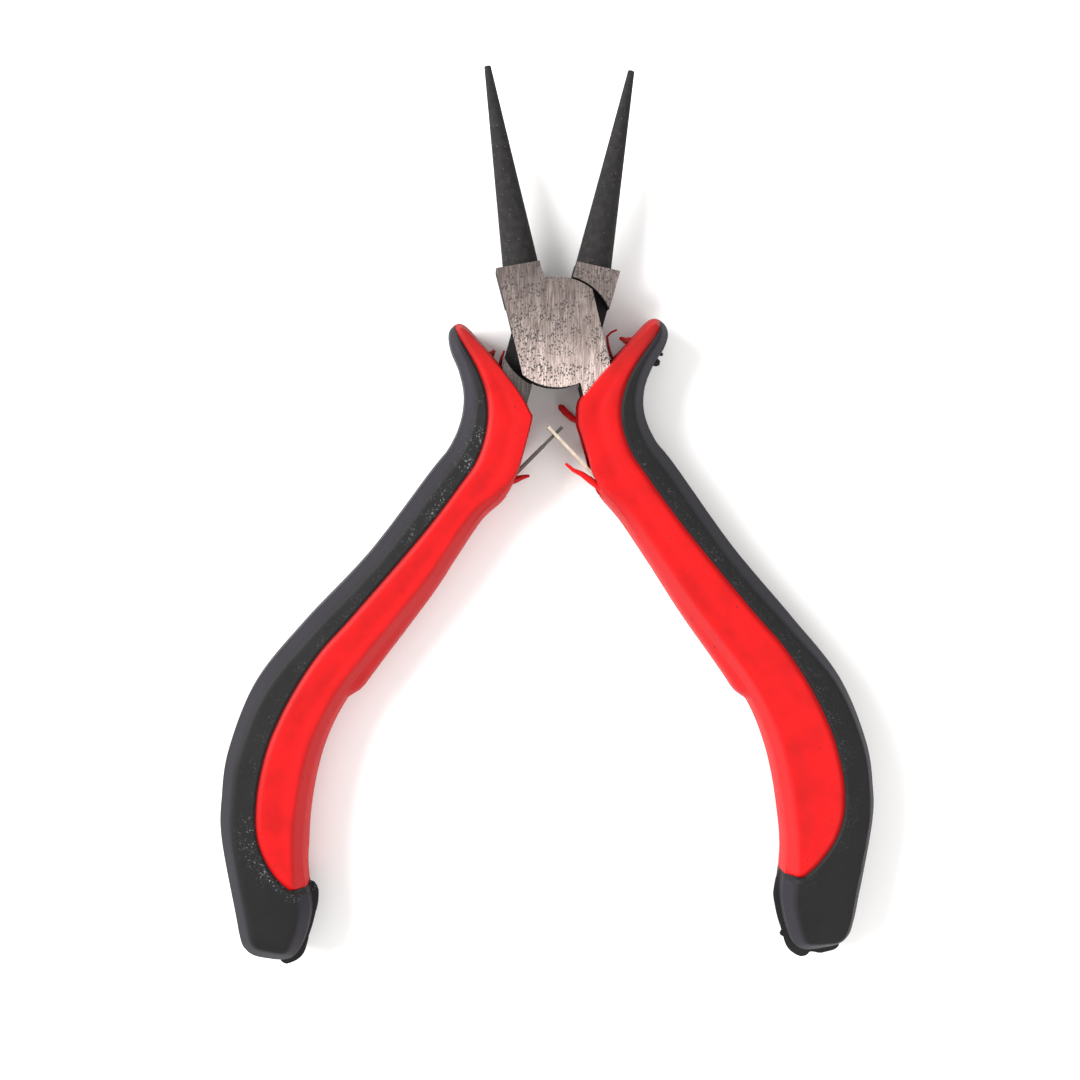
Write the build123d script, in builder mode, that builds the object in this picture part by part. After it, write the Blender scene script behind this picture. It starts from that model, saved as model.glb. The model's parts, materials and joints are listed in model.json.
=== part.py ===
"""Mini round nose pliers: forged halves on a flush rivet, interlocked leaf springs, two-colour grips.

Every handle-side piece is drawn once, for the right-hand half with the pliers closed and the mid-plane
of the joint at z = 0.  The left-hand half is the same forging turned over about the Y axis.
The last section opens both halves and lifts the joint so that its back face lies on z = 0.
"""

from build123d import *
import os

# ---- driving dimensions, millimetres and degrees ----
HALF_OPEN = 14.5  # each half is turned this far from closed when the springs are relaxed

# lap joint
JOINT_T = 7.6  # thickness of the ground joint
HALF_T = JOINT_T / 2
LAP_GAP = 0.04  # clearance between the two lap faces
LAP_R = 7.4  # round ends of the lap plate
PLATE_HALF_W = 5.9  # straight sides of the lap plate
BLOCK_SHOULDER_R = 7.68  # arcs that the other half's lap plate turns inside
TANG_SHOULDER_R = 7.9
BLOCK_TOP = 9.8  # height of the ground jaw block, at its inner edge
BLOCK_TOP_RISE = 0.35  # by which the outer edge is higher
BLOCK_OUTER_X = -5.98
BLOCK_INNER_X = -0.06
BLOCK_WAIST_Y = 4.0  # below this the block is as wide as the plate
BLOCK_ROOT_R = 0.65  # hollow where the jaw block runs into the lap plate

# conical nose
NOSE_TIP_Y = 37.2
NOSE_BASE_R = 2.48
NOSE_TIP_R = 0.45
NOSE_BASE_X = -2.54
NOSE_ROOT = -1.2  # the cone starts this far inside the block
TIP_ROUND = 0.2
TIP_GAP = 0.04  # between the two tips when closed

# pivot rivet
RIVET_R = 2.0
RIVET_HEAD_R = 3.05
RIVET_CLEARANCE = 0.03

# tang
TANG_INNER_X = 1.4
TANG_OUTER_X = 5.9
TANG_TOP_Y = -4.4
TANG_STEP_Y = -11.6  # below this the tang is thinner
TANG_HALF_T = 2.4
TANG_END_Y = -68.0
TANG_END_X = 18.2

# grip
GRIP_HALF_T = 4.7
GRIP_GAP = 0.03  # between any two pieces that are moulded on each other
PARTING_SHIFT = (0.03, -0.02)  # moves the parting line a little way from core to overmould
SHOULDER_X = 0.12  # where the two grips almost meet when the pliers are closed
RIB_HALF_T = 2.7  # raised rib over the spring, and the pocket in front of it
POCKET_LAP = 0.2
POCKET_END_Y = -22.7

# leaf springs
LEAF_T = 0.4
LEAF_W = 4.4
LEAF_ROOT = (1.3, -21.6)  # bend line
LEAF_ANGLE = 29.7  # of the free part, relaxed, from +Y towards -X
LEAF_LENGTH = 11.0
TAIL_ANGLE = 23.5  # of the part clamped along the tang
TAIL_START = 0.35  # distance from the bend line
TAIL_LENGTH = 15.0
SLOT_START = 7.3
SLOT_END = 10.6
SLOT_W = 2.1
TONGUE_W = 1.7

# drive rivet that holds a leaf to its tang
SPRING_RIVET_R = 0.75
SPRING_RIVET_HEAD_R = 1.4
SPRING_RIVET_HEAD_T = 0.5
SPRING_RIVET_LENGTH = 3.2
SPRING_RIVET_AT = 12.0  # distance from the bend line


# ---- one forged half ----
nose_base = Vector(NOSE_BASE_X, BLOCK_TOP, 0)
nose_tip = Vector(-NOSE_TIP_R - TIP_GAP / 2, NOSE_TIP_Y, 0)
nose_line = nose_tip - nose_base
nose_plane = Plane(origin=nose_base, x_dir=nose_line.cross(Vector(0, 0, 1)), z_dir=(0, 0, 1))

tail_dir = Vector(0, -1, 0).rotate(Axis.Z, TAIL_ANGLE)
tail_normal = Vector(1, 0, 0).rotate(Axis.Z, TAIL_ANGLE)
leaf_root = Vector(*LEAF_ROOT)
leaf_dir = Vector(0, 1, 0).rotate(Axis.Z, LEAF_ANGLE)
leaf_normal = Vector(1, 0, 0).rotate(Axis.Z, LEAF_ANGLE)
leaf_plane = Plane(origin=leaf_root, x_dir=leaf_dir, z_dir=leaf_normal).offset(-LEAF_T / 2)
tail_plane = Plane(origin=leaf_root, x_dir=tail_normal, z_dir=(0, 0, 1))
rivet_plane = Plane(origin=leaf_root + tail_dir * SPRING_RIVET_AT, z_dir=-tail_normal)
tang_face_start = leaf_root + tail_normal * (LEAF_T / 2 + GRIP_GAP)
tang_face_end = tang_face_start + tail_dir * (TAIL_LENGTH + 2)


with BuildSketch() as tang_shape:
    with BuildLine():
        outer = Spline(
            (TANG_OUTER_X, TANG_TOP_Y),
            (5.0, -13.5),
            (6.4, -22.0),
            (12.4, -36.5),
            (18.4, -49.0),
            (21.2, -61.0),
            (20.9, TANG_END_Y),
            tangents=((0, -1), (-0.2, -1)),
        )
        Line(outer @ 1, (TANG_END_X, TANG_END_Y))
        inner = Spline(
            (TANG_END_X, TANG_END_Y),
            (17.2, -58.0),
            (12.0, -44.5),
            (tang_face_end.X, tang_face_end.Y),
            tangents=((-0.05, 1), (-tail_dir.X, -tail_dir.Y)),
        )
        Line(inner @ 1, (tang_face_start.X, tang_face_start.Y))
        Line((tang_face_start.X, tang_face_start.Y), (TANG_INNER_X, TANG_STEP_Y))
        Line((TANG_INNER_X, TANG_STEP_Y), (TANG_INNER_X, TANG_TOP_Y))
        Line((TANG_INNER_X, TANG_TOP_Y), outer @ 0)
    make_face()

# full-thickness stretch of the tang, from the joint to the step
with BuildSketch() as neck_shape:
    add(tang_shape.sketch)
    with Locations((0, TANG_STEP_Y / 2)):
        Rectangle(4 * LAP_R, -TANG_STEP_Y, mode=Mode.INTERSECT)

with BuildPart() as half_blank:
    with BuildSketch(Plane.XY.offset(-HALF_T)):
        with BuildLine():
            Polyline(
                (BLOCK_INNER_X, 0),
                (BLOCK_INNER_X, BLOCK_TOP),
                (BLOCK_OUTER_X, BLOCK_TOP + BLOCK_TOP_RISE),
                (-PLATE_HALF_W, BLOCK_WAIST_Y),
                (-PLATE_HALF_W, 0),
                close=True,
            )
        make_face()
    extrude(amount=JOINT_T)
    with BuildSketch(Plane.XY.offset(-HALF_T)):
        add(neck_shape.sketch)
    extrude(amount=JOINT_T)
    with BuildSketch(Plane.XY.offset(-TANG_HALF_T)):
        add(tang_shape.sketch)
    extrude(amount=2 * TANG_HALF_T)
    # room for the other half's lap plate
    with BuildSketch(Plane.XY.offset(-HALF_T)):
        Circle(TANG_SHOULDER_R)
        with Locations((0, -LAP_R)):
            Rectangle(4 * LAP_R, 2 * LAP_R, mode=Mode.INTERSECT)
        Circle(BLOCK_SHOULDER_R)
    extrude(amount=HALF_T + LAP_GAP / 2, mode=Mode.SUBTRACT)
    # this half's lap plate, blended into its jaw block
    with BuildSketch(Plane.XY.offset(LAP_GAP / 2)) as lap_plate:
        Circle(LAP_R)
        Rectangle(2 * PLATE_HALF_W, 4 * LAP_R, mode=Mode.INTERSECT)
        with Locations(((BLOCK_INNER_X - PLATE_HALF_W) / 2, (BLOCK_TOP - 1) / 2)):
            Rectangle(PLATE_HALF_W + BLOCK_INNER_X, BLOCK_TOP - 1)
        root = lap_plate.vertices().sort_by_distance((BLOCK_INNER_X, LAP_R))[0]
        fillet(root, radius=BLOCK_ROOT_R)
    extrude(amount=HALF_T - LAP_GAP / 2)
    with BuildSketch(nose_plane) as nose_profile:
        with BuildLine():
            Polyline(
                (0, NOSE_ROOT),
                (NOSE_BASE_R, NOSE_ROOT),
                (NOSE_BASE_R, 0),
                (NOSE_TIP_R, nose_line.length),
                (0, nose_line.length),
                close=True,
            )
        make_face()
        tip_corner = nose_profile.vertices().group_by(Axis.Y)[-1].sort_by(Axis.X)[-1]
        fillet(tip_corner, radius=TIP_ROUND)
    revolve(axis=Axis(nose_base, nose_line))
    # blind hole for the spring's rivet
    with BuildSketch(rivet_plane):
        Circle(SPRING_RIVET_R + GRIP_GAP)
    extrude(amount=-SPRING_RIVET_LENGTH, mode=Mode.SUBTRACT)
    with Locations((0, 0, HALF_T)):
        CounterSinkHole(
            radius=RIVET_R + RIVET_CLEARANCE,
            counter_sink_radius=RIVET_HEAD_R + RIVET_CLEARANCE,
            counter_sink_angle=90,
        )


# ---- leaf springs, their clamped tails and the rivets that hold them ----

with BuildPart() as slotted_leaf_blank:
    with BuildSketch(leaf_plane):
        with Locations((LEAF_LENGTH / 2, 0)):
            Rectangle(LEAF_LENGTH, LEAF_W)
        with Locations(((SLOT_START + SLOT_END) / 2, 0)):
            Rectangle(SLOT_END - SLOT_START, SLOT_W, mode=Mode.SUBTRACT)
    extrude(amount=LEAF_T)
    with Locations(leaf_root):
        Cylinder(radius=LEAF_T / 2, height=LEAF_W)

with BuildPart() as tongued_leaf_blank:
    with BuildSketch(leaf_plane):
        with Locations((SLOT_START / 2, 0)):
            Rectangle(SLOT_START, LEAF_W)
        with Locations((LEAF_LENGTH / 2, 0)):
            Rectangle(LEAF_LENGTH, TONGUE_W)
    extrude(amount=LEAF_T)
    with Locations(leaf_root):
        Cylinder(radius=LEAF_T / 2, height=LEAF_W)

with BuildPart() as leaf_tail_blank:
    with BuildSketch(tail_plane.offset(-LEAF_W / 2)):
        with Locations((0, -TAIL_START - TAIL_LENGTH / 2)):
            Rectangle(LEAF_T, TAIL_LENGTH)
    extrude(amount=LEAF_W)
    with BuildSketch(rivet_plane):
        Circle(SPRING_RIVET_R + GRIP_GAP)
    extrude(amount=LEAF_T, both=True, mode=Mode.SUBTRACT)

with BuildPart() as spring_rivet_blank:
    with BuildSketch(rivet_plane.offset(LEAF_T / 2 + GRIP_GAP)):
        Circle(SPRING_RIVET_HEAD_R)
    extrude(amount=SPRING_RIVET_HEAD_T)
    head_rim = spring_rivet_blank.edges().sort_by(Axis(rivet_plane.origin, rivet_plane.z_dir))[-1]
    fillet(head_rim, radius=SPRING_RIVET_HEAD_T / 2)
    with BuildSketch(rivet_plane.offset(LEAF_T / 2 + GRIP_GAP)):
        Circle(SPRING_RIVET_R)
    extrude(amount=-SPRING_RIVET_LENGTH)

with BuildPart() as pivot_rivet_blank:
    with BuildSketch(Plane.XZ):
        with BuildLine():
            Polyline(
                (0, -HALF_T),
                (RIVET_HEAD_R, -HALF_T),
                (RIVET_R, -HALF_T + RIVET_HEAD_R - RIVET_R),
                (RIVET_R, HALF_T - RIVET_HEAD_R + RIVET_R),
                (RIVET_HEAD_R, HALF_T),
                (0, HALF_T),
                close=True,
            )
        make_face()
    revolve(axis=Axis.Z)

# ---- grip: outline, parting line, core and overmould ----
with BuildSketch() as grip_shape:
    with BuildLine():
        horn_face = Spline((1.2, -10.3), (4.6, -7.3), (8.1, -4.9), (12.0, -2.25))
        tip = ThreePointArc(horn_face @ 1, (13.95, -2.2), (14.3, -4.1))
        back = Spline(
            tip @ 1,
            (11.65, -7.7),
            (9.15, -14.0),
            (11.6, -22.1),
            (16.65, -34.7),
            (22.6, -46.2),
            (26.7, -55.6),
            (28.2, -65.0),
            (26.4, -76.0),
            (21.8, -86.5),
            (19.6, -89.9),
        )
        foot_outer = ThreePointArc(back @ 1, (18.4, -91.3), (16.6, -91.9))
        foot = Line(foot_outer @ 1, (13.9, -91.9))
        foot_inner = ThreePointArc(foot @ 1, (12.2, -91.2), (11.5, -89.6))
        cap_front = Line(foot_inner @ 1, (11.4, -83.9))
        cap_lip = ThreePointArc(cap_front @ 1, (11.7, -82.3), (12.6, -80.9))
        belly = Spline(
            cap_lip @ 1,
            (14.4, -76.0),
            (15.65, -66.0),
            (14.9, -57.5),
            (11.3, -48.4),
            (6.0, -35.9),
            (2.4, -26.0),
            (SHOULDER_X, -18.6),
        )
        shoulder = Line(belly @ 1, (SHOULDER_X, -12.3))
        ThreePointArc(shoulder @ 1, (0.38, -11.1), horn_face @ 0)
    make_face()

# everything on the palm side of the line where the two colours meet
with BuildSketch() as core_side:
    with BuildLine():
        parting = Spline(
            (15.2, -0.8),
            (11.0, -5.5),
            (7.4, -9.6),
            (5.75, -16.0),
            (7.0, -21.7),
            (10.5, -30.2),
            (16.6, -42.9),
            (20.9, -52.3),
            (23.1, -61.3),
            (23.1, -69.7),
            (20.8, -76.3),
            (17.0, -79.6),
            (10.0, -80.9),
        )
        Polyline(parting @ 1, (-5, -80.9), (-5, -0.8), parting @ 0)
    make_face()

with BuildPart() as core_blank:
    with BuildSketch(Plane.XY.offset(-GRIP_HALF_T)):
        add(grip_shape.sketch)
    extrude(amount=2 * GRIP_HALF_T)
    with BuildSketch(Plane.XY.offset(-2 * GRIP_HALF_T)):
        add(core_side.sketch)
    extrude(amount=4 * GRIP_HALF_T, mode=Mode.INTERSECT)
    # rib on the palm side that ends in a step
    with BuildSketch(Plane.XY.offset(-RIB_HALF_T)):
        with BuildLine():
            Polyline((5.0, -32.5), (12.1, -52.6), (14.6, -54.6), (14.6, -50.0), (8.0, -34.0), close=True)
        make_face()
    extrude(amount=2 * RIB_HALF_T)
    # seat of the tang
    with BuildSketch(Plane.XY.offset(-TANG_HALF_T - GRIP_GAP)):
        add(tang_shape.sketch)
    extrude(amount=2 * (TANG_HALF_T + GRIP_GAP), mode=Mode.SUBTRACT)
    with BuildSketch(Plane.XY.offset(-HALF_T - GRIP_GAP)):
        add(neck_shape.sketch)
    extrude(amount=2 * (HALF_T + GRIP_GAP), mode=Mode.SUBTRACT)
    # pocket that lets the leaf swing, a little way into the tang's seat
    with BuildSketch(Plane.XY.offset(-RIB_HALF_T)):
        with BuildLine():
            Polyline(
                (-LAP_R, TANG_TOP_Y),
                (TANG_INNER_X + POCKET_LAP, TANG_TOP_Y),
                (TANG_INNER_X + POCKET_LAP, TANG_STEP_Y),
                (tang_face_start.X + POCKET_LAP, tang_face_start.Y),
                (tang_face_start.X + POCKET_LAP, POCKET_END_Y),
                (-LAP_R, POCKET_END_Y),
                close=True,
            )
        make_face()
    extrude(amount=2 * RIB_HALF_T, mode=Mode.SUBTRACT)
    # seat of the clamped tail and of its rivet head
    with BuildSketch(tail_plane.offset(-LEAF_W / 2 - GRIP_GAP)):
        with Locations((0, -TAIL_LENGTH / 2)):
            Rectangle(LEAF_T + 2 * GRIP_GAP, TAIL_LENGTH + 2 * (TAIL_START + GRIP_GAP))
    extrude(amount=LEAF_W + 2 * GRIP_GAP, mode=Mode.SUBTRACT)
    with BuildSketch(rivet_plane):
        Circle(SPRING_RIVET_HEAD_R + GRIP_GAP)
    extrude(amount=LEAF_T / 2 + SPRING_RIVET_HEAD_T + 2 * GRIP_GAP, mode=Mode.SUBTRACT)

with BuildPart() as overmould_blank:
    with BuildSketch(Plane.XY.offset(-GRIP_HALF_T)):
        add(grip_shape.sketch)
    extrude(amount=2 * GRIP_HALF_T)
    with BuildSketch(Plane.XY.offset(-2 * GRIP_HALF_T)):
        with Locations(PARTING_SHIFT):
            add(core_side.sketch)
    extrude(amount=4 * GRIP_HALF_T, mode=Mode.SUBTRACT)

# ---- place every piece with the pliers half open ----
RIGHT_HALF = Location((0, 0, HALF_T), (0, 0, HALF_OPEN))
LEFT_HALF = Location((0, 0, HALF_T), (0, 0, -HALF_OPEN)) * Location((0, 0, 0), (0, 180, 0))

PIECES = {
    "front_half": (half_blank, RIGHT_HALF),
    "rear_half": (half_blank, LEFT_HALF),
    "pivot_rivet": (pivot_rivet_blank, RIGHT_HALF),
    "right_grip_core": (core_blank, RIGHT_HALF),
    "left_grip_core": (core_blank, LEFT_HALF),
    "right_grip_overmould": (overmould_blank, RIGHT_HALF),
    "left_grip_overmould": (overmould_blank, LEFT_HALF),
    "right_spring_blade": (slotted_leaf_blank, RIGHT_HALF),
    "left_spring_blade": (tongued_leaf_blank, LEFT_HALF),
    "right_spring_tail": (leaf_tail_blank, RIGHT_HALF),
    "left_spring_tail": (leaf_tail_blank, LEFT_HALF),
    "right_spring_rivet": (spring_rivet_blank, RIGHT_HALF),
    "left_spring_rivet": (spring_rivet_blank, LEFT_HALF),
}

os.makedirs("parts", exist_ok=True)
for name, (blank, place) in PIECES.items():
    with BuildPart() as piece:
        with Locations(place):
            add(blank.part)
    piece.part.label = name
    export_step(piece.part, f"parts/{name}.step")
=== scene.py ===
"""Looks of the mini round nose pliers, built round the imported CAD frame."""

import bmesh
import bpy
import json
import math
import numpy as np
from mathutils import Matrix, Vector


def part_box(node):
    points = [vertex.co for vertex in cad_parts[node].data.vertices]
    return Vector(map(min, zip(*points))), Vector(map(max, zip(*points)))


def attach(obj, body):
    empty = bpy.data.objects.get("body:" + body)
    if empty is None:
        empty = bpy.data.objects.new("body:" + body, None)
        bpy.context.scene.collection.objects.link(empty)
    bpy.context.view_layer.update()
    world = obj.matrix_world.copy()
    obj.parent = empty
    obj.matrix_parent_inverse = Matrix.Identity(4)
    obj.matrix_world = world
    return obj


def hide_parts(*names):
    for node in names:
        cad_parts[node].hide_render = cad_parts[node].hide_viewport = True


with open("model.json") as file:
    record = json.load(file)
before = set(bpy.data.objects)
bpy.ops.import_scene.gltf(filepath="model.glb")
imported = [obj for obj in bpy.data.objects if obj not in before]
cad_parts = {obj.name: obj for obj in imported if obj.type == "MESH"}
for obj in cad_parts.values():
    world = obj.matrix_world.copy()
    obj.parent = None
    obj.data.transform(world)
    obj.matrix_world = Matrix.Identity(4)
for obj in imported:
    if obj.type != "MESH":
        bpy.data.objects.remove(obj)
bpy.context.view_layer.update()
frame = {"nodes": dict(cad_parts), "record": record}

MM = 0.001
pivot_low, pivot_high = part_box("pivot_rivet")
MID = (pivot_low.z + pivot_high.z) / 2
JOINTS = {joint["name"]: joint for joint in frame["record"]["behaviour"]["joints"]}
HALF_OPEN = math.radians(-JOINTS["jaw_pivot"]["range_deg"][0] / 2)
FLOOR_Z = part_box("right_grip_core")[0].z

# A half is drawn closed, as the right-hand one, in millimetres round the middle of the pivot.
RIGHT = Matrix.Translation((0, 0, MID)) @ Matrix.Rotation(HALF_OPEN, 4, "Z")
LEFT = (
    Matrix.Translation((0, 0, MID))
    @ Matrix.Rotation(-HALF_OPEN, 4, "Z")
    @ Matrix.Rotation(math.pi, 4, "Y")
)
SIDES = {"right": (RIGHT, "front_half"), "left": (LEFT, "rear_half")}


# ---------------------------------------------------------------- curves

def curve(points, count):
    """A smooth open curve through the points, resampled to evenly spaced rows."""
    p = np.array(points, float)
    p = np.vstack([2 * p[0] - p[1], p, 2 * p[-1] - p[-2]])
    t = np.linspace(0, 1, 24, endpoint=False)[:, None]
    spans = []
    for a, b, c, d in zip(p, p[1:], p[2:], p[3:]):
        square = 2 * a - 5 * b + 4 * c - d
        cube = 3 * b - a - 3 * c + d
        spans.append(0.5 * (2 * b + (c - a) * t + square * t**2 + cube * t**3))
    fine = np.vstack(spans + [p[-2:-1]])
    length = np.concatenate([[0], np.cumsum(np.linalg.norm(np.diff(fine, axis=0), axis=1))])
    at = np.linspace(0, length[-1], count)
    return np.stack([np.interp(at, length, fine[:, k]) for k in range(fine.shape[1])], axis=1)


def distance(points, line):
    """Distance of each point to an open polyline, and the index of the nearest segment."""
    a, b = line[:-1], line[1:]
    ab = b - a
    ap = points[:, None, :] - a[None]
    share = np.clip((ap * ab).sum(2) / np.maximum((ab * ab).sum(1), 1e-12), 0, 1)
    gap = np.linalg.norm(ap - share[..., None] * ab, axis=2)
    return gap.min(axis=1), gap.argmin(axis=1)


# ---------------------------------------------------------------- grip outline, millimetres

GUARD_FACE = [
    (13.95, -2.25), (13.3, -1.85), (12.2, -2.2), (10.2, -3.5), (8.1, -4.9), (4.6, -7.3), (2.2, -9.2),
    (0.9, -10.5),
]
SHOULDER = [(0.1, -17.4), (0.12, -19.2), (0.45, -20.9)]
PALM = [
    (1.2, -22.9), (2.55, -26.6), (6.0, -35.9), (8.5, -42.1), (11.3, -48.4),
    (13.4, -53.0), (14.9, -57.5), (15.6, -62.0), (15.65, -66.5), (15.2, -71.4), (14.2, -76.3),
    (12.9, -80.0),
]
CAP_FRONT = [
    (12.9, -80.0), (11.9, -81.7), (11.4, -84.0), (11.35, -87.4), (11.8, -90.2), (12.9, -91.4),
    (14.8, -91.8),
]
BACK = [
    (13.95, -2.25), (14.4, -3.1), (14.2, -4.3), (13.3, -5.8), (11.5, -7.9), (9.9, -10.8), (9.25, -14.2),
    (9.75, -18.0), (11.4, -22.1), (16.35, -34.7), (22.25, -46.2), (26.35, -55.6), (27.75, -65.0),
    (27.2, -71.5), (25.8, -76.6), (21.5, -86.5), (20.3, -89.3), (19.3, -91.0), (17.6, -91.9), (14.8, -91.8),
]
PARTING = [
    (13.95, -2.25), (13.0, -3.6), (11.0, -5.5), (9.1, -7.4), (7.4, -9.7), (6.2, -12.5), (5.75, -15.5),
    (6.0, -18.8), (6.95, -21.7), (10.4, -30.2), (16.45, -42.9), (19.55, -49.2), (21.6, -55.4),
    (22.8, -61.3), (23.1, -66.0), (22.8, -70.2), (21.8, -74.0), (20.2, -76.7), (18.0, -78.8), (15.9, -80.1),
    (14.1, -80.8), (12.9, -80.0),
]

ROWS = 280  # along the grip
CAP_ROWS = 44  # along the front of the end cap
COLUMNS = 30  # across one moulding
HALF_T = (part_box("right_grip_core")[1].z - FLOOR_Z) / 2 / MM
CROWN = 0.25

# The two mouldings are not the same: height along the tang, then the shift in x and y of everything there.
SLIP = {
    "right": [
        (-92, 0.15, 0.6), (-86, 0.4, 0.5), (-80, 0.45, 0.3), (-74, 0.4, 0.5), (-59, 0.28, 0.56),
        (-46, -0.12, 0.55), (-36, -0.05, 0.6), (-25, 0, 0.7), (-14, -0.33, 0.8), (-5, 0.1, 0.55),
    ],
    "left": [
        (-92, -0.3, 0.1), (-86, -0.35, -0.5), (-80, -0.1, -1.1), (-74, 0, -0.8), (-70, 0, -0.57),
        (-59, 0.25, -0.56), (-46, 0.26, -0.55), (-35, 0.11, -0.6), (-25, 0.1, -0.7), (-14, 0, -0.8),
        (-5, -0.45, -0.55),
    ],
}
# Likewise the shift in x of the palm side, of the parting line and of the back.
PALM_SHIFT = {
    "right": [
        (-80, -0.3), (-77, -0.27), (-70, -0.65), (-59, -0.6), (-50, 0.15), (-47, 0.35), (-35, 0.4),
        (-27, 0.45), (-22, -0.3),
    ],
    "left": [
        (-80, 0.3), (-77, 0.35), (-70, 0.5), (-59, 0.5), (-47, 0.95), (-35, 0.9), (-27, 1.25), (-22, 0.2),
    ],
}
PARTING_SHIFT = {
    "right": [
        (-78, 0), (-75, 0.3), (-70, 0.4), (-59, 0.35), (-47, 0.35), (-36, 0.1), (-12, 0), (-3, 0.2),
        (-2.3, 0),
    ],
    "left": [(-80.5, 0), (-79, -0.3), (-74, -0.45), (-60, -0.4), (-40, -0.35), (-25, -0.1), (-12, 0)],
}
BACK_SHIFT = {
    "right": [(-48, 0.2), (-36, 0.25), (-25, 0.3), (-19, 0), (-9, 0.05), (-4.5, 0.45), (-2.3, 0)],
    "left": [(-85, 0), (-76, -0.25), (-70, -0.2), (-60, 0), (-9, -0.1), (-4.5, -0.2), (-2.3, 0)],
}
CAP_SHIFT = {"right": 0.05, "left": 0.45}
# The corner of each shoulder, between the guard and the middle line.
CORNER = {
    "right": [(0.1, -11.8), (-0.12, -12.9), (0.0, -14.6)],
    "left": [(0.3, -11.6), (0.12, -12.6), (0.1, -15.0)],
}
# The bevel round the rim: its width on the face, and half the height of the straight wall below it.
BACK_WIDTH, CAP_WIDTH = 1.7, 1.5
BACK_WALL, CAP_WALL = 2.5, 2.3
PALM_WIDTH = [(-60, 1.3), (-26, 1.2), (-19, 0.2), (-4, 0.2), (-2, 0.5)]
PALM_WALL = [(-92, 2.6), (-28, 2.7), (-23, 3.8), (-5, 3.6), (-2, 2.6)]
# How the bevel along the back narrows: height, and the share of its full width.
BACK_BEVEL = {"right": [(-60, 0.55), (-40, 1.0), (-20, 1.0), (-8, 0.72)], "left": [(-20, 1.0), (-8, 0.72)]}
# How far the rib over the leaf spring stands out of the palm side, up to the shelf under the pocket.
RIB = [
    (-55, 0), (-53.4, 0.75), (-52.4, 0.9), (-34, 0.15), (-27, 0.1), (-24.5, 0.4), (-22.4, 0.55),
    (-21.2, 0.25), (-20.7, 0),
]


def follow(at, table):
    """Reads a table of (position, value) at each position."""
    return np.interp(at, *zip(*table))


def shift(points, table, axis=0, column=1):
    """Moves points along an axis by a column of a table of (height, shift, ...)."""
    points[:, axis] += follow(points[:, 1], [(row[0], row[column]) for row in table])
    return points


class Outline:
    """The outline of one grip, its parting line, and the bevel of its rim."""

    def __init__(self, side):
        self.side = side

        def slid(points):
            p = shift(np.array(points, float), SLIP[side])
            return shift(p, SLIP[side], axis=1, column=2)

        palm = shift(slid(PALM), PALM_SHIFT[side])
        self.palm = curve(np.vstack([slid(GUARD_FACE), CORNER[side], SHOULDER, palm]), ROWS)
        cap = slid(CAP_FRONT)
        cap[1:-1, 0] += CAP_SHIFT[side]
        cap[0] = palm[-1]
        self.cap = curve(cap, CAP_ROWS)
        back = shift(slid(BACK), BACK_SHIFT[side])
        back[-1] = cap[-1]
        self.back = curve(back, ROWS + CAP_ROWS - 1)
        parting = shift(slid(PARTING), PARTING_SHIFT[side])
        parting[-1] = palm[-1]
        self.parting = curve(parting, ROWS)
        self.rim = np.vstack([self.palm, self.cap[1:], self.back[::-1][1:]])
        palms, caps = ROWS, ROWS + CAP_ROWS - 1
        width = np.full(len(self.rim), BACK_WIDTH)
        wall = np.full(len(self.rim), BACK_WALL)
        width[:palms] = follow(self.palm[:, 1], PALM_WIDTH)
        wall[:palms] = follow(self.palm[:, 1], PALM_WALL)
        width[palms:caps] = CAP_WIDTH
        wall[palms:caps] = CAP_WALL
        width[caps:] *= follow(self.rim[caps:, 1], BACK_BEVEL[side])
        # both are evened out over 15 neighbouring points
        kernel = np.ones(15) / 15
        self.width = np.convolve(np.pad(width, 7, mode="wrap"), kernel, "valid")
        self.wall = np.convolve(np.pad(wall, 7, mode="wrap"), kernel, "valid")


def face_height(shape, points, lip, groove):
    """Height of the grip's face over its mid-plane, with its bevelled rim, crown and parting groove."""
    gap, at = distance(points, shape.rim)
    width, wall = shape.width[at], shape.wall[at]
    soft = 0.08
    x = gap / width
    share = -soft * np.log(np.exp(-x / soft) + math.exp(-1 / soft))
    crown = CROWN * (1 - np.exp(-np.maximum(gap - width, 0) / 2.5))
    z = wall + (HALF_T - CROWN - wall) * share + crown * np.clip(x, 0, 1)
    to_parting = distance(points, shape.parting)[0]
    near = np.exp(-(to_parting / groove) ** 2)
    inside = np.clip(gap / 0.8, 0, 1)
    z = z + (lip * np.exp(-to_parting / 1.2) - 0.3 * near) * inside
    # the red face is dished between its ridge and the parting line
    across = gap + to_parting
    dish = np.exp(-(((gap / np.maximum(across, 0.01)) - 0.45) / 0.16) ** 2)
    return z - 0.16 * dish * np.clip((across - 2.5) / 2.5, 0, 1) * (lip < 0)


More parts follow.
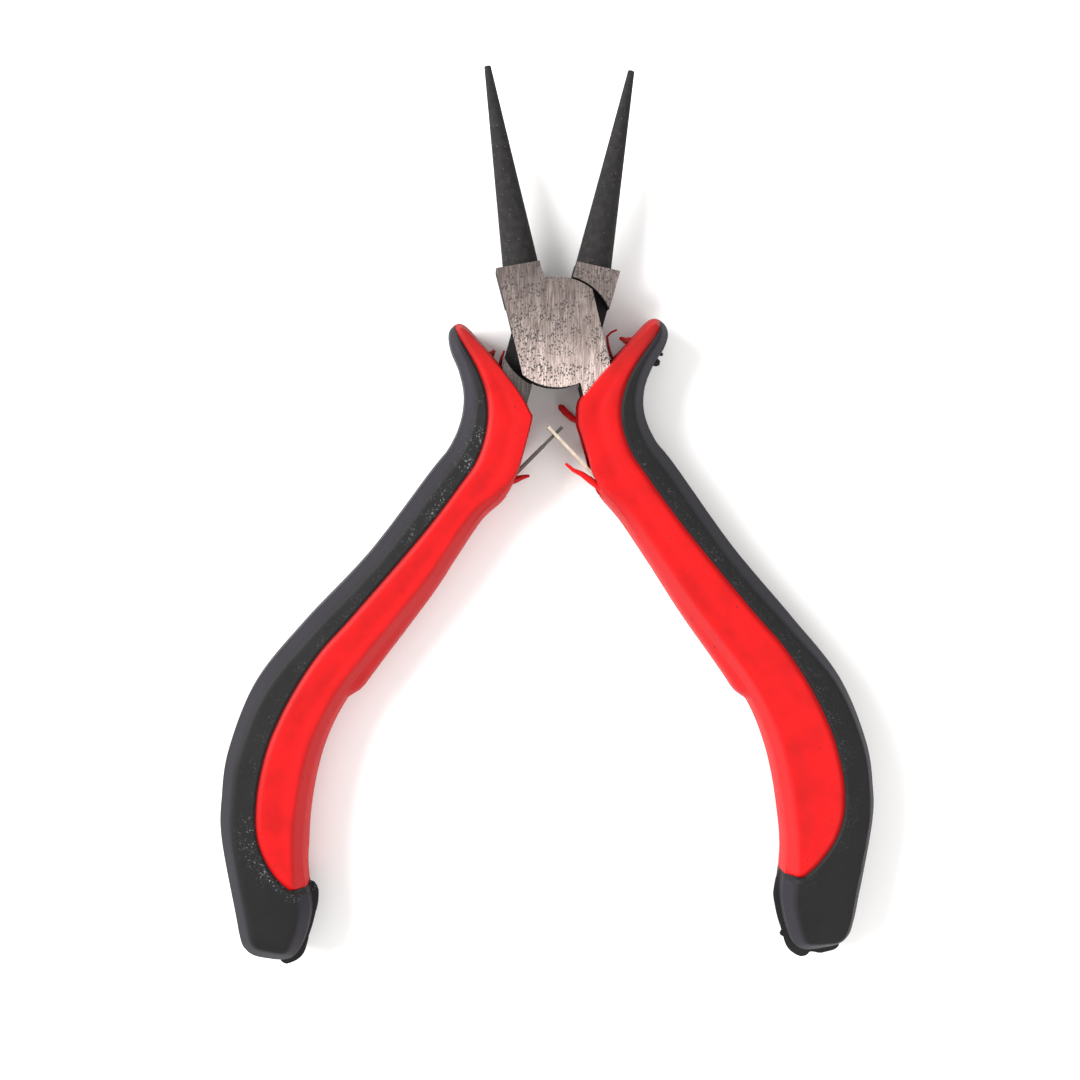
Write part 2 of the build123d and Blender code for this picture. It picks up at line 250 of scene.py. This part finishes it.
def closed_strip(name, shape, inner, outer, lip, groove):
    """A closed mesh between two lines: both faces, and a wall under each line."""
    spread = 0.5 - 0.5 * np.cos(np.pi * np.arange(COLUMNS + 1) / COLUMNS)
    flat = inner[:, None, :] + (outer - inner)[:, None, :] * spread[None, :, None]
    rows, columns = flat.shape[:2]
    z = face_height(shape, flat.reshape(-1, 2), lip, groove).reshape(rows, columns)
    top = np.dstack([flat, z])
    bottom = np.dstack([flat, -z])
    # ring of points round each row: top from inner to outer, outer wall, bottom back, inner wall
    ring = [top[:, k] for k in range(columns)]
    ring += wall_points(shape, outer, z[:, -1], inner)
    ring += [bottom[:, k] for k in reversed(range(columns))]
    ring += wall_points(shape, inner, -z[:, 0], outer)
    ring = np.stack(ring, axis=1)
    around = ring.shape[1]
    bm = bmesh.new()
    verts = [[bm.verts.new(p * MM) for p in row] for row in ring]
    for i in range(rows - 1):
        for k in range(around):
            n = (k + 1) % around
            bm.faces.new([verts[i][k], verts[i][n], verts[i + 1][n], verts[i + 1][k]])
    bmesh.ops.remove_doubles(bm, verts=bm.verts, dist=2e-6)
    bmesh.ops.holes_fill(bm, edges=[e for e in bm.edges if e.is_boundary])
    bmesh.ops.recalc_face_normals(bm, faces=bm.faces)
    return new_object(name, bm)


WALL_LEVELS = (0.8, 0.6, 0.4, 0.2, 0.07, 0, -0.07, -0.2, -0.4, -0.6, -0.8)
# Ragged flash round the end cap: direction from the middle of the cap in degrees, and its reach.
FLASH = {
    "right": [
        (118, 0.1), (124, 0.21), (133, 0.4), (154, 0.66), (199, 0.62), (216, 0.55), (219, 0.98),
        (222, 0.95), (225, 0.63), (235, 1.08), (246, 1.55), (251, 1.4), (255, 0.93), (258, 0.97),
        (262, 1.2), (268, 1.38), (285, 1.3), (290, 0.9), (293, 0),
    ],
    "left": [
        (119, 0.2), (124, 0.5), (137, 0.8), (144, 0.85), (163, 0.6), (182, 0.35), (215, 0.25), (227, 0.55),
        (236, 0.9), (248, 1.16), (252, 0.86), (254, 0.4), (256, 0),
    ],
}
CAP_MIDDLE = (16.0, -85.0)
BELLY = 0.18  # how far a wall swells at mid height
BELLY_ON_PALM = [(-80, 1.4), (-76, 3.0), (-27, 3.0), (-22, 1.0)]
SEAM = 0.07  # the mould seam along the middle of a wall
ON_LINE = 0.02


def wall_points(shape, line, start, other):
    """Points down a wall from height start to -start, with its belly, the rib and the flash."""
    tangent = np.gradient(line, axis=0)
    normal = np.stack([-tangent[:, 1], tangent[:, 0]], axis=1)
    normal /= np.maximum(np.linalg.norm(normal, axis=1), 1e-9)[:, None]
    if ((line - other) * normal).sum() < 0:
        normal = -normal
    # the walls of an overmould meet under the cap, where both face straight down
    if line[-1, 1] < CAP_MIDDLE[1]:
        normal[-1] = (0, -1)
    y = line[:, 1]
    shows = distance(line, shape.rim)[0] < ON_LINE
    on_palm = shows & (distance(line, shape.palm)[0] < ON_LINE)
    # near the middle line of the tool a wall stays flat, clear of the other grip
    clear = shows * np.clip(line[:, 0] - 0.6, 0, 1)
    belly = BELLY * clear
    belly = np.where(on_palm, belly * follow(y, BELLY_ON_PALM), belly)
    around = np.degrees(np.arctan2(y - CAP_MIDDLE[1], line[:, 0] - CAP_MIDDLE[0])) % 360
    degrees, reach = zip(*FLASH[shape.side])
    on_cap = (y < shape.palm[-1, 1]) & shows
    flash = np.where(on_cap, np.interp(around, degrees, reach, left=0, right=0), 0)
    seam = SEAM * clear + flash
    rib_reach = follow(y, RIB) * on_palm
    points = []
    for share in WALL_LEVELS:
        rib = rib_reach * np.clip((1 - abs(share)) * 3.2, 0, 1)
        out = (rib + belly * (1 - share**2) + seam * (share == 0))[:, None] * normal
        points.append(np.column_stack([line + out, start * share]))
    return points


def wisp(height, points):
    """A tapering thread of flash at a height over the mid-plane: points are x, y and radius."""
    points = np.array(points, float)
    path, radius = points[:, :2], points[:, 2]
    ahead = np.gradient(path, axis=0)
    ahead /= np.linalg.norm(ahead, axis=1)[:, None]
    side = np.stack([-ahead[:, 1], ahead[:, 0]], axis=1)
    rings = []
    for centre, across, r in zip(path, side, radius):
        turns = np.linspace(0, 2 * np.pi, 8, endpoint=False)
        flat = centre + np.outer(np.cos(turns) * r, across)
        rings.append(np.column_stack([flat, height + 0.7 * r * np.sin(turns)]))
    bm = bmesh.new()
    verts = [[bm.verts.new(p * MM) for p in ring] for ring in rings]
    for low, high in zip(verts, verts[1:]):
        for k in range(8):
            bm.faces.new([low[k], low[(k + 1) % 8], high[(k + 1) % 8], high[k]])
    bm.faces.new(verts[0])
    bm.faces.new(verts[-1])
    bmesh.ops.recalc_face_normals(bm, faces=bm.faces)
    return new_object("wisp", bm)


def new_object(name, bm):
    """Turns a bmesh into an object of the scene."""
    mesh = bpy.data.meshes.new(name)
    bm.to_mesh(mesh)
    bm.free()
    obj = bpy.data.objects.new(name, mesh)
    bpy.context.scene.collection.objects.link(obj)
    return obj


def smooth(obj, angle=32):
    """Smooth shading that keeps edges sharper than the angle."""
    mesh = obj.data
    bm = bmesh.new()
    bm.from_mesh(mesh)
    for face in bm.faces:
        face.smooth = True
    for edge in bm.edges:
        edge.smooth = len(edge.link_faces) == 2 and edge.calc_face_angle(0) < math.radians(angle)
    bm.to_mesh(mesh)
    bm.free()


def prism(name, points, low, high):
    """A closed prism over a polygon in millimetres."""
    bm = bmesh.new()
    base = [bm.verts.new((x * MM, y * MM, low * MM)) for x, y in points]
    face = bm.faces.new(base)
    made = bmesh.ops.extrude_face_region(bm, geom=[face])["geom"]
    lift = [v for v in made if isinstance(v, bmesh.types.BMVert)]
    bmesh.ops.translate(bm, verts=lift, vec=(0, 0, (high - low) * MM))
    bmesh.ops.recalc_face_normals(bm, faces=bm.faces)
    return new_object(name, bm)


def combine(obj, operation, tools):
    """Subtracts the tools from obj, or adds them, applies the result and removes the tools."""
    for tool in tools:
        modifier = obj.modifiers.new("combine", "BOOLEAN")
        modifier.operation = operation
        modifier.solver = "EXACT"
        modifier.object = tool
    bpy.context.view_layer.update()
    graph = bpy.context.evaluated_depsgraph_get()
    mesh = bpy.data.meshes.new_from_object(obj.evaluated_get(graph))
    obj.modifiers.clear()
    obj.data = mesh
    for tool in tools:
        bpy.data.objects.remove(tool)


# Where the grips are scuffed: height along the tang, and how much.
SCUFFED = {
    "right": [(-84, 0), (-80, 0.1), (-60, 0.2), (-20, 0.2), (-12, 0.05), (-8, 0)],
    "left": [
        (-84, 0), (-82, 0.9), (-77, 0.9), (-72, 0.15), (-35, 0.12), (-26, 0.8), (-17, 0.8), (-11, 0.3),
        (-8, 0),
    ],
}


def mark(obj, shape):
    """Stores per vertex, for the materials: nearness to the parting line, scuffing, nearness to the tip."""
    at = np.array([vert.co[:2] for vert in obj.data.vertices]) / MM
    marks = {
        "seam": np.exp(-((distance(at, shape.parting)[0] / 1.6) ** 2)),
        "scuffed": follow(at[:, 1], SCUFFED[shape.side]),
        "guard": follow(at[:, 1], [(-9.0, 0), (-3.5, 1)]),
    }
    for name, values in marks.items():
        stored = obj.data.attributes.new(name, "FLOAT", "POINT")
        stored.data.foreach_set("value", values.astype(np.float32))


# ---------------------------------------------------------------- materials

def material(name):
    """A new node material: (material, its node tree, its shader)."""
    mat = bpy.data.materials.new(name)
    mat.use_nodes = True
    tree = mat.node_tree
    tree.nodes.clear()
    out = tree.nodes.new("ShaderNodeOutputMaterial")
    shader = tree.nodes.new("ShaderNodeBsdfPrincipled")
    tree.links.new(shader.outputs[0], out.inputs[0])
    return mat, tree, shader


def node(tree, kind, inputs=None, **settings):
    """Adds a node, sets its properties, and sets or links its inputs."""
    made = tree.nodes.new("ShaderNode" + kind)
    for key, value in settings.items():
        setattr(made, key, value)
    for key, value in (inputs or {}).items():
        if isinstance(value, bpy.types.NodeSocket):
            tree.links.new(value, made.inputs[key])
        else:
            made.inputs[key].default_value = value
    return made


def arith(tree, operation, *values, **settings):
    """A Math node over values or sockets."""
    return node(tree, "Math", dict(enumerate(values)), operation=operation, **settings).outputs[0]


def span(tree, value, start, end, low=0.0, high=1.0):
    """Maps a value from start..end to low..high."""
    return node(tree, "MapRange", {0: value, 1: start, 2: end, 3: low, 4: high}).outputs[0]


def ramp(tree, value, stops):
    """A colour ramp: stops are (position, grey or rgb)."""
    made = node(tree, "ValToRGB", {0: value})
    ends = made.color_ramp.elements
    while len(ends) < len(stops):
        ends.new(0.5)
    for end, (position, colour) in zip(ends, stops):
        colour = (colour,) * 3 if isinstance(colour, (int, float)) else colour
        end.position = position
        end.color = (*colour, 1)
    return made.outputs[0]


def mix(tree, share, a, b, kind="MIX"):
    """Mixes two colours."""
    made = node(tree, "MixRGB", blend_type=kind)
    for key, value in (("Fac", share), ("Color1", a), ("Color2", b)):
        if isinstance(value, bpy.types.NodeSocket):
            tree.links.new(value, made.inputs[key])
        elif key == "Fac":
            made.inputs[key].default_value = value
        else:
            made.inputs[key].default_value = (*value, 1)
    return made.outputs[0]


def place(tree, scale):
    """Object coordinates, scaled per axis, in units of one millimetre."""
    at = node(tree, "TexCoord").outputs["Object"]
    return node(tree, "Mapping", {"Vector": at, "Scale": [s / MM for s in scale]}).outputs[0]


def noise(tree, scale, detail=3.0, roughness=0.55, stretch=(1, 1, 1)):
    """Noise from 0 to 1 over the object, with the scale in cells per millimetre."""
    inputs = {"Vector": place(tree, stretch), "Scale": scale, "Detail": detail, "Roughness": roughness}
    return node(tree, "TexNoise", inputs).outputs[0]


def spots(tree, scale, size, stretch=(1, 1, 1)):
    """Small scattered round spots: 1 inside a spot."""
    inputs = {"Vector": place(tree, stretch), "Scale": scale, "Randomness": 1.0}
    cells = node(tree, "TexVoronoi", inputs).outputs["Distance"]
    return ramp(tree, cells, [(size * 0.6, 1.0), (size, 0.0)])


def bump(tree, height, strength, reach, normal=None):
    """Fine relief of a height, its reach in millimetres, on top of an earlier relief."""
    inputs = {"Height": height, "Strength": strength, "Distance": reach * MM}
    if normal is not None:
        inputs["Normal"] = normal
    return node(tree, "Bump", inputs).outputs[0]


def moulded(name, colour, painted_bevel_light, dull, grain, roughness, worn, wear):
    """Injection moulded grip plastic: fine grain, soft mottling, specks, wear by the parting line, painted
    light and shade on the bevels, and painted shade in creases.
    """
    mat, tree, shader = material(name)
    seam, scuffed, guard = (
        node(tree, "Attribute", attribute_name=stored).outputs["Fac"]
        for stored in ("seam", "scuffed", "guard")
    )
    mottle = noise(tree, 0.22, 4)
    fine = noise(tree, 5.0, 4, 0.6)
    base = mix(tree, ramp(tree, mottle, [(0.38, 0.0), (0.66, 1.0)]), colour, [c * 0.8 for c in colour])
    base = mix(tree, ramp(tree, guard, [(0.0, 0.0), (1.0, 0.85)]), base, dull)
    # painted light on the bevels: by how steeply they face they take a painted shade or sheen colour,
    # except beside the parting line
    up = node(tree, "SeparateXYZ", {0: node(tree, "TexCoord").outputs["Normal"]}).outputs[2]
    bevel_light_share = ramp(tree, arith(tree, "ABSOLUTE", up), [(0.15, 0.35), (0.5, 1.0), (0.93, 0.0)])
    off_seam = ramp(tree, seam, [(0.75, 1.0), (0.93, 0.15)])
    base = mix(tree, arith(tree, "MULTIPLY", bevel_light_share, off_seam), base, painted_bevel_light)
    base = mix(tree, 1.0, base, ramp(tree, fine, [(0.32, 1 - grain), (0.68, 1.0)]), "MULTIPLY")
    base = mix(tree, arith(tree, "MULTIPLY", spots(tree, 0.35, 0.07), 0.45), base, (0.03, 0.01, 0.01))
    # wear beside the parting line
    rubbed = ramp(tree, noise(tree, 3.4, 6, 0.7), [(0.57, 0.0), (0.64, 1.0)])
    patch = ramp(tree, noise(tree, 0.35, 2), [(0.42, 0.0), (0.55, 1.0)])
    for share in (arith(tree, "MULTIPLY", patch, scuffed), seam, wear):
        rubbed = arith(tree, "MULTIPLY", rubbed, share)
    base = mix(tree, rubbed, base, worn)
    close = ramp(tree, seam, [(0.86, 0.0), (1.0, 0.5)])
    base = mix(tree, close, base, [0.5 * c + 0.02 * w for c, w in zip(colour, worn)])
    # painted shade: the colour is darkened in creases, recesses and the pocket under the shoulder, by
    # ambient occlusion
    painted_crevice_shade = node(tree, "AmbientOcclusion", {"Distance": 2.2 * MM}, samples=6).outputs["AO"]
    base = mix(tree, 1.0, base, ramp(tree, painted_crevice_shade, [(0.2, 0.32), (0.75, 1.0)]), "MULTIPLY")
    tree.links.new(base, shader.inputs["Base Color"])
    rough = ramp(tree, fine, [(0.3, roughness - 0.06), (0.7, roughness + 0.08)])
    tree.links.new(rough, shader.inputs["Roughness"])
    shader.inputs["Specular IOR Level"].default_value = 0.16
    relief = bump(tree, fine, 0.25, 0.03)
    relief = bump(tree, mottle, 0.2, 0.12, relief)
    tree.links.new(relief, shader.inputs["Normal"])
    return mat


def forged(name, painted_light_tones, pitted):
    """Black oxide forging with ground joint faces.

    The tones are painted light, running from the nose end to the tang: the ground faces are painted darker
    or lighter along the tool; pitted is how far the pits crowd at the nose end.
    """
    mat, tree, shader = material(name)
    at = node(tree, "TexCoord")
    xyz = node(tree, "SeparateXYZ", {0: at.outputs["Object"]}).outputs
    up = node(tree, "SeparateXYZ", {0: at.outputs["Normal"]}).outputs[2]
    # the ground faces lie at the very top and bottom of the joint
    offset = arith(tree, "ABSOLUTE", arith(tree, "SUBTRACT", xyz[2], MID))
    high = arith(tree, "GREATER_THAN", offset, MID * 0.985)
    flat = arith(tree, "GREATER_THAN", arith(tree, "ABSOLUTE", up), 0.9)
    ground = arith(tree, "MULTIPLY", high, flat)
    grain = noise(tree, 3.2, 3, 0.6, stretch=(3.2, 0.16, 1))
    streak = noise(tree, 0.5, 3, 0.6, stretch=(3.0, 0.3, 1))
    bright = ramp(
        tree, grain, [(0.36, (0.34, 0.265, 0.24)), (0.5, (0.64, 0.515, 0.475)), (0.64, (1.0, 0.84, 0.79))]
    )
    bright = mix(tree, ramp(tree, streak, [(0.35, 0.0), (0.65, 0.5)]), bright, (0.29, 0.23, 0.21))
    # painted light: the ground faces are painted darker or lighter along the tool, from the nose end to the
    # tang
    along = span(tree, xyz[1], -9 * MM, 9 * MM, 1.0, 0.0)
    bright = mix(tree, 1.0, bright, ramp(tree, along, painted_light_tones), "MULTIPLY")
    # pits crowd together on one side and towards the tang
    lean = span(tree, xyz[0], -5 * MM, 5 * MM, 0.07, -0.06)
    low = span(tree, xyz[1], -7 * MM, 8 * MM, 0.05, pitted)
    crowd = arith(tree, "ADD", arith(tree, "ADD", noise(tree, 0.5, 3), lean), low)
    pits = 0.0
    for scale, size, start in ((3.4, 0.39, 0.42), (2.5, 0.34, 0.38), (1.9, 0.30, 0.46)):
        where = ramp(tree, crowd, [(start, 0.0), (start + 0.1, 1.0)])
        layer = arith(tree, "MULTIPLY", spots(tree, scale, size, stretch=(1.0, 0.75, 1)), where)
        pits = arith(tree, "MAXIMUM", pits, layer)
    bright = mix(tree, pits, bright, (0.03, 0.028, 0.03))
    oxide = ramp(
        tree, noise(tree, 1.2, 4), [(0.35, (0.016, 0.0155, 0.0155)), (0.7, (0.026, 0.0245, 0.0245))]
    )
    oxide = mix(tree, arith(tree, "MULTIPLY", spots(tree, 1.6, 0.10), 0.55), oxide, (0.3, 0.24, 0.2))
    tree.links.new(mix(tree, ground, oxide, bright), shader.inputs["Base Color"])
    clean = arith(tree, "SUBTRACT", ground, pits, use_clamp=True)
    tree.links.new(span(tree, clean, 0, 1, 0.05, 0.9), shader.inputs["Metallic"])
    tree.links.new(span(tree, ground, 0, 1, 0.8, 0.38), shader.inputs["Roughness"])
    tree.links.new(span(tree, ground, 0, 1, 0.15, 0.5), shader.inputs["Specular IOR Level"])
    relief = bump(tree, grain, 0.3, 0.03)
    relief = bump(tree, pits, -0.6, 0.06, relief)
    relief = bump(tree, noise(tree, 2.5, 4), 0.2, 0.05, relief)
    tree.links.new(relief, shader.inputs["Normal"])
    return mat


def bright_steel(name, colour, roughness, stretch):
    """Bright steel with a fine rolled or ground grain."""
    mat, tree, shader = material(name)
    grain = noise(tree, 4.0, 3, 0.6, stretch=stretch)
    base = ramp(tree, grain, [(0.3, [c * 0.75 for c in colour]), (0.7, colour)])
    tree.links.new(base, shader.inputs["Base Color"])
    shader.inputs["Metallic"].default_value = 0.9
    rough = ramp(tree, grain, [(0.3, roughness - 0.05), (0.7, roughness + 0.08)])
    tree.links.new(rough, shader.inputs["Roughness"])
    tree.links.new(bump(tree, grain, 0.25, 0.02), shader.inputs["Normal"])
    return mat


# ---------------------------------------------------------------- grips

# The bevel colours are painted light: painted shade on the red bevels, a painted sheen on the black ones.
RED = moulded(
    "grip_red",
    colour=(0.56, 0.004, 0.005),
    painted_bevel_light=(0.45, 0.014, 0.016),
    dull=(0.26, 0.009, 0.008),
    grain=0.08,
    roughness=0.5,
    worn=(0.3, 0.04, 0.025),
    wear=0.3,
)
BLACK = moulded(
    "grip_black",
    colour=(0.0125, 0.0122, 0.0130),
    painted_bevel_light=(0.026, 0.023, 0.032),
    dull=(0.018, 0.0155, 0.021),
    grain=0.4,
    roughness=0.55,
    worn=(0.42, 0.42, 0.44),
    wear=0.9,
)
# Both halves are one steel, and their tones are painted light: the front half's ground face is painted
# lighter towards the tang, the rear half's painted darker there, as in shade.
FRONT_STEEL = forged("front_steel", [(0.05, 0.30), (0.5, 0.60), (0.95, 1.3)], -0.05)
REAR_STEEL = forged("rear_steel", [(0.05, 0.36), (0.5, 0.35), (0.9, 0.16)], 0.1)
SPRING = bright_steel("spring_steel", (0.80, 0.68, 0.55), 0.34, (0.3, 0.3, 3))
# the left spring is the same spring steel in painted shade: a darker copy, as in shadow
SHADED_SPRING = bright_steel("spring_steel_painted_shade", (0.13, 0.12, 0.11), 0.40, (0.3, 0.3, 3))
RIVET = bright_steel("rivet_steel", (0.74, 0.68, 0.64), 0.36, (3.2, 0.16, 1))

# The pocket under the shoulder, from which the leaf spring comes out.
ROOT = RIGHT.inverted() @ Vector(JOINTS["right_leaf_flex"]["pos_m"]) / MM
POCKET_HALF = 2.5
POCKET = [
    (-3.0, -6.0), (1.6, -6.0), (1.6, -11.6),
    (ROOT.x + 0.4, ROOT.y), (ROOT.x + 0.5, ROOT.y - 1.0), (-3.0, ROOT.y - 3.2),
]

# Threads and lumps of flash on the mouldings: height over the mid-plane, and (x, y, radius) along each.
POCKET_EDGE = 2.95
RED_FLASH = {
    "right": [
        (
            0.6,
            [
                (6.9, -6.0, 0.25), (6.55, -4.6, 0.22), (6.5, -3.2, 0.18), (6.65, -2.0, 0.17),
                (7.3, -1.6, 0.15), (8.2, -1.4, 0.14),
            ],
        ),
        (0, [(10.8, -3.9, 0.7), (9.6, -3.35, 0.6), (8.9, -3.0, 0.4), (8.35, -2.55, 0.2)]),
        (
            POCKET_EDGE,
            [
                (1.3, -22.4, 0.5), (-0.2, -20.6, 0.48), (-1.3, -19.3, 0.38), (-2.3, -18.5, 0.27),
                (-3.1, -17.4, 0.17),
            ],
        ),
        (
            -POCKET_EDGE,
            [
                (0.9, -12.9, 0.3), (-0.4, -11.7, 0.45), (-1.1, -10.7, 0.5), (-1.55, -9.9, 0.45),
                (-1.75, -9.5, 0.2),
            ],
        ),
    ],
    "left": [
        (0, [(8.3, -6.4, 0.5), (7.75, -5.0, 0.45), (7.45, -4.4, 0.2)]),
        (0, [(6.3, -8.0, 0.3), (6.2, -6.4, 0.26), (6.3, -5.2, 0.2), (6.2, -4.1, 0.15)]),
        (POCKET_EDGE, [(1.2, -21.6, 0.5), (0.0, -20.7, 0.5), (-0.9, -20.1, 0.33), (-1.7, -19.7, 0.18)]),
    ],
}
BLACK_FLASH = {
    "right": [
        (0, [(11.1, -6.2, 0.4), (12.0, -6.7, 0.62), (12.6, -7.05, 0.55), (12.9, -7.2, 0.3)]),
        (0, [(12.4, -5.4, 0.4), (13.2, -5.9, 0.34), (13.6, -6.2, 0.18)]),
    ],
    "left": [],
}


def make_grip(side, matrix, body):
    """Red core and black overmould of one handle."""
    shape = Outline(side)
    core = closed_strip(f"{side}_core", shape, shape.palm, shape.parting, lip=-0.02, groove=0.45)
    combine(core, "DIFFERENCE", [prism("pocket", POCKET, -POCKET_HALF, POCKET_HALF)])
    front = np.vstack([shape.parting, shape.cap[1:]])
    over = closed_strip(f"{side}_overmould", shape, front, shape.back, lip=0.14, groove=0.16)
    for obj, mat, slot, replaced, flash in (
        (core, RED, "grip_red", "grip_core", RED_FLASH),
        (over, BLACK, "grip_black", "grip_overmould", BLACK_FLASH),
    ):
        if flash[side]:
            combine(obj, "UNION", [wisp(*thread) for thread in flash[side]])
        mark(obj, shape)
        obj.data.transform(matrix)
        obj.data.update()
        smooth(obj)
        obj.data.materials.clear()
        obj.data.materials.append(mat)
        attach(obj, body)
        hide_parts(f"{side}_{replaced}")


for side, (matrix, body) in SIDES.items():
    make_grip(side, matrix, body)


# ---------------------------------------------------------------- steel pieces carried over from the frame

LOOKS = {
    "spring_rivet": RIVET,
    "left_spring": SHADED_SPRING,
    "right_spring": SPRING,
    "front_half": FRONT_STEEL,
    "rear_half": REAR_STEEL,
    "pivot_rivet": FRONT_STEEL,
}
for name, obj in frame["nodes"].items():
    for part, mat in LOOKS.items():
        if part in name:
            obj.data.materials.clear()
            obj.data.materials.append(mat)
            break


# ---------------------------------------------------------------- floor, light and camera

def floor():
    """Plain pale floor just under the grips."""
    bm = bmesh.new()
    bmesh.ops.create_grid(bm, x_segments=2, y_segments=2, size=1.5)
    mesh = bpy.data.meshes.new("floor")
    bm.to_mesh(mesh)
    bm.free()
    obj = bpy.data.objects.new("floor", mesh)
    obj.location.z = FLOOR_Z - 0.00005
    bpy.context.scene.collection.objects.link(obj)
    mat, tree, shader = material("floor")
    tint = ramp(tree, noise(tree, 0.02, 2), [(0.3, (0.92, 0.92, 0.92)), (0.7, (0.95, 0.95, 0.95))])
    tree.links.new(tint, shader.inputs["Base Color"])
    shader.inputs["Roughness"].default_value = 0.9
    shader.inputs["Specular IOR Level"].default_value = 0.1
    mesh.materials.append(mat)


def area(name, location, size, power):
    """A square area light aimed at the middle of the tool, in metres and watts."""
    light = bpy.data.lights.new(name, "AREA")
    light.size = size
    light.energy = power
    obj = bpy.data.objects.new(name, light)
    obj.location = location
    aim = Vector((0, -0.03, 0)) - Vector(location)
    obj.rotation_euler = aim.to_track_quat("-Z", "Y").to_euler()
    bpy.context.scene.collection.objects.link(obj)


def light():
    """Pale surroundings, a soft key light from the left and a weak fill from the right."""
    world = bpy.data.worlds.new("studio")
    bpy.context.scene.world = world
    world.use_nodes = True
    back = world.node_tree.nodes["Background"]
    back.inputs[0].default_value = (1.0, 0.985, 0.97, 1)
    back.inputs[1].default_value = 0.95
    area("key", (-0.6, 0.15, 0.5), 0.4, 9.5)
    area("fill", (0.4, -0.45, 0.7), 0.6, 2.2)
    view = bpy.context.scene.view_settings
    view.view_transform = "Standard"
    view.look = "None"


# The camera looks straight down on the open tool: its place in millimetres from the middle of the pivot,
# its small turns about Y, X and Z in degrees, and the shift of its lens.
CAMERA_AT = (-10.0, -14.0, 205.24)
CAMERA_TURN = (("Y", -4.37), ("X", -2.1), ("Z", 0.83))
CAMERA_SHIFT = (-0.0512, -0.0444)


def camera():
    """The camera at the photo's viewing angle."""
    cam = bpy.data.cameras.new("camera")
    cam.lens = 50
    cam.sensor_width = 36
    cam.clip_start = 0.01
    cam.shift_x, cam.shift_y = CAMERA_SHIFT
    obj = bpy.data.objects.new("camera", cam)
    bpy.context.scene.collection.objects.link(obj)
    x, y, z = CAMERA_AT
    obj.location = (x * MM, y * MM, z * MM + MID)
    turn = Matrix.Identity(3)
    for axis, degrees in CAMERA_TURN:
        turn = turn @ Matrix.Rotation(math.radians(degrees), 3, axis)
    obj.rotation_mode = "QUATERNION"
    obj.rotation_quaternion = turn.to_quaternion()
    bpy.context.scene.camera = obj


floor()
light()
camera()
